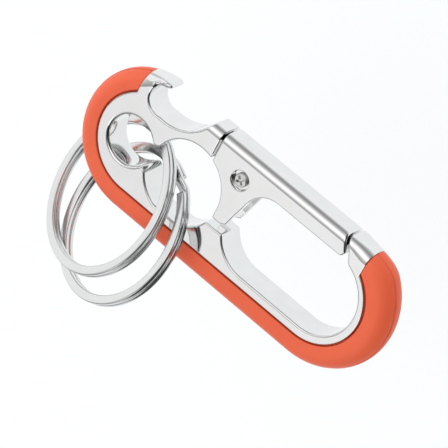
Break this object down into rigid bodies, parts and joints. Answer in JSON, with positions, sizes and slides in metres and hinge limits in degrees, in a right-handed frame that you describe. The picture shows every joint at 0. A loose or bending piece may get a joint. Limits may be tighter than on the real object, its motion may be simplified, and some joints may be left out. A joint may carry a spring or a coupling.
{
  "type": "carabiner keyring",
  "caption": "Carabiner key holder with a sprung gate, a soft-rimmed metal frame, a bottle-opener claw and split rings.",
  "frame": {"origin": "centre of the hook seat's arc, halfway through the body's thickness", "axes": "+X along the body towards the hook, +Y from the spine towards the gate, +Z out of the front face, the face with the pivot screw"},
  "size_m": [0.0807, 0.0487, 0.0216],
  "materials": {
    "chrome": "bright chrome plating on a smooth die casting",
    "soft_rim": "satin soft-touch moulding",
    "pivot_steel": "polished plated steel",
    "spring_steel": "drawn spring wire",
    "ring_steel": "nickel-plated flat wire, lightly brushed"
  },
  "bodies": {
    "body": {"frame": "chrome", "grip": "soft_rim", "pivot_post": "pivot_steel", "pivot_screw": "pivot_steel", "gate_spring": "spring_steel"},
    "gate": {"gate": "chrome"},
    "ring_upper": {"split_ring_upper": "ring_steel"},
    "ring_lower": {"split_ring_lower": "ring_steel"}
  },
  "joints": [
    {"name": "gate_hinge", "type": "hinge", "parent": "body", "child": "gate", "pos_m": [-0.0248, 0.0078, 0], "axis": [0, 0, 1], "range_deg": [-25, 0], "stiffness_Nm_per_rad": 0.06, "springref_deg": 28.65, "deforming": ["gate_spring"]},
    {"name": "ring_upper_swing", "type": "hinge", "parent": "body", "child": "ring_upper", "pos_m": [-0.0388, -0.0008, 0.0012], "axis": [0.5418, -0.7024, 0.4616], "range_deg": [-4, 40]},
    {"name": "ring_lower_swing", "type": "hinge", "parent": "ring_upper", "child": "ring_lower", "pos_m": [-0.0388, -0.0008, 0.0012], "axis": [0.5418, -0.7024, 0.4616], "range_deg": [0, 40]}
  ]
}
